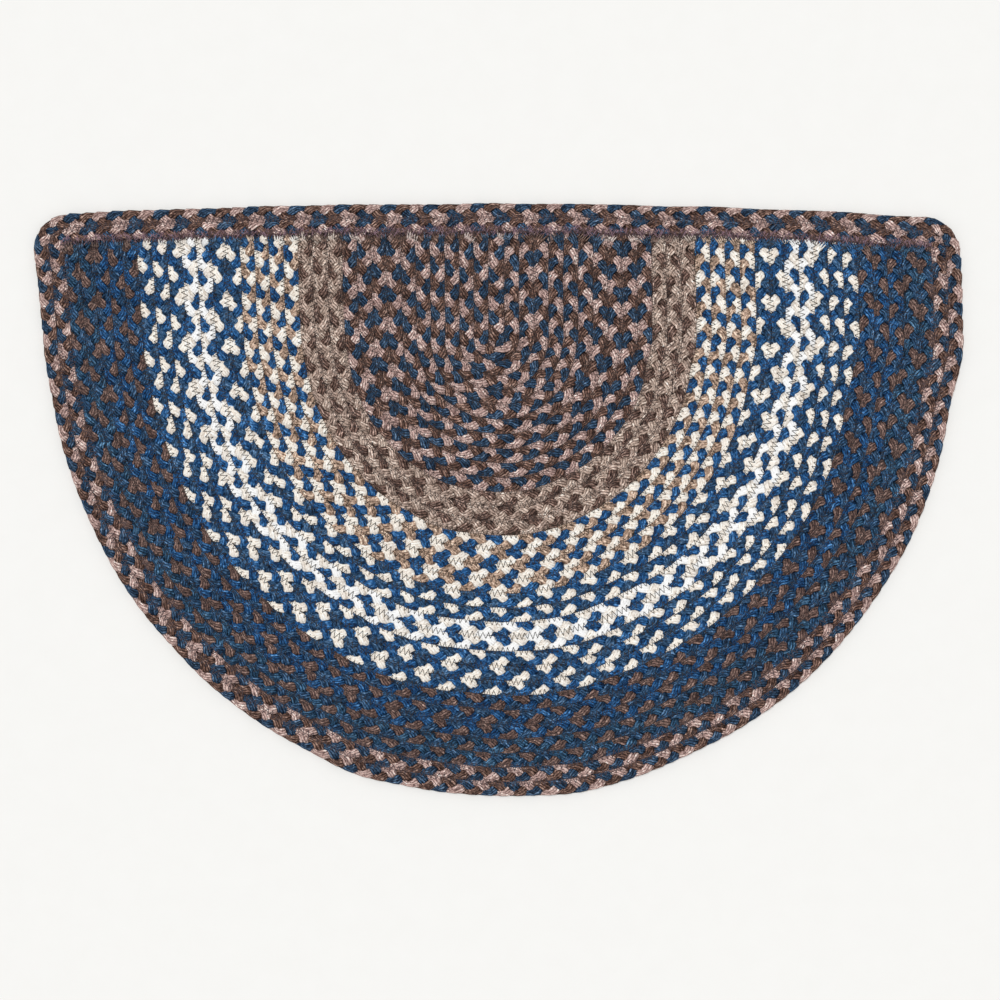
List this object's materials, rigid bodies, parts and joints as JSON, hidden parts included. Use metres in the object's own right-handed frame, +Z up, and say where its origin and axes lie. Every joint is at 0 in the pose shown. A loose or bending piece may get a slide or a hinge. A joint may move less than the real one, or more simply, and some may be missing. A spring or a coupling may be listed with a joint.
{
  "type": "half-round braided jute doormat",
  "caption": "Flat half-round doormat of multicoloured jute braid wound in nested U rows, cut straight across and edged with more braid; lies on a floor to wipe shoes on.",
  "frame": {"origin": "on the floor under the middle of the mat's box", "axes": "+X along the straight side, +Y towards the straight side, +Z up out of the floor"},
  "size_m": [0.7376, 0.4696, 0.0075],
  "materials": {
    "jute_dusty_pink": "matt braided jute, dusty pink, brown and dull blue strands",
    "jute_taupe": "matt braided jute, taupe and dark brown strands",
    "jute_cream_and_blue": "matt braided jute, cream, tan and strong blue strands",
    "jute_cream": "matt braided jute, cream, blue and navy strands",
    "jute_white": "matt braided jute, bleached white and cream strands with a blue one",
    "jute_bright_blue": "matt braided jute, bright blue, navy and brown strands",
    "jute_navy": "matt braided jute, navy and brown strands",
    "jute_edge": "matt braided jute, dusty pink, brown and navy strands"
  },
  "bodies": {
    "root": {"braid_middle": "jute_dusty_pink", "braid_row_01": "jute_dusty_pink", "braid_row_02": "jute_dusty_pink", "braid_row_03": "jute_dusty_pink", "braid_row_04": "jute_dusty_pink", "braid_row_05": "jute_dusty_pink", "braid_row_06": "jute_dusty_pink", "braid_row_07": "jute_dusty_pink", "braid_row_08": "jute_dusty_pink", "braid_row_09": "jute_dusty_pink", "braid_row_10": "jute_dusty_pink", "braid_row_11": "jute_taupe", "braid_row_12": "jute_taupe", "braid_row_13": "jute_taupe", "braid_row_14": "jute_cream_and_blue", "braid_row_15": "jute_cream_and_blue", "braid_row_16": "jute_cream_and_blue", "braid_row_17": "jute_cream_and_blue", "braid_row_18": "jute_cream", "braid_row_19": "jute_cream", "braid_row_20": "jute_white", "braid_row_21": "jute_white", "braid_row_22": "jute_cream", "braid_row_23": "jute_cream", "braid_row_24": "jute_cream", "braid_row_25": "jute_bright_blue", "braid_row_26": "jute_bright_blue", "braid_row_27": "jute_bright_blue", "braid_row_28": "jute_navy", "braid_row_29": "jute_navy", "braid_edge_inner": "jute_edge", "braid_edge_outer": "jute_edge"}
  },
  "joints": []
}
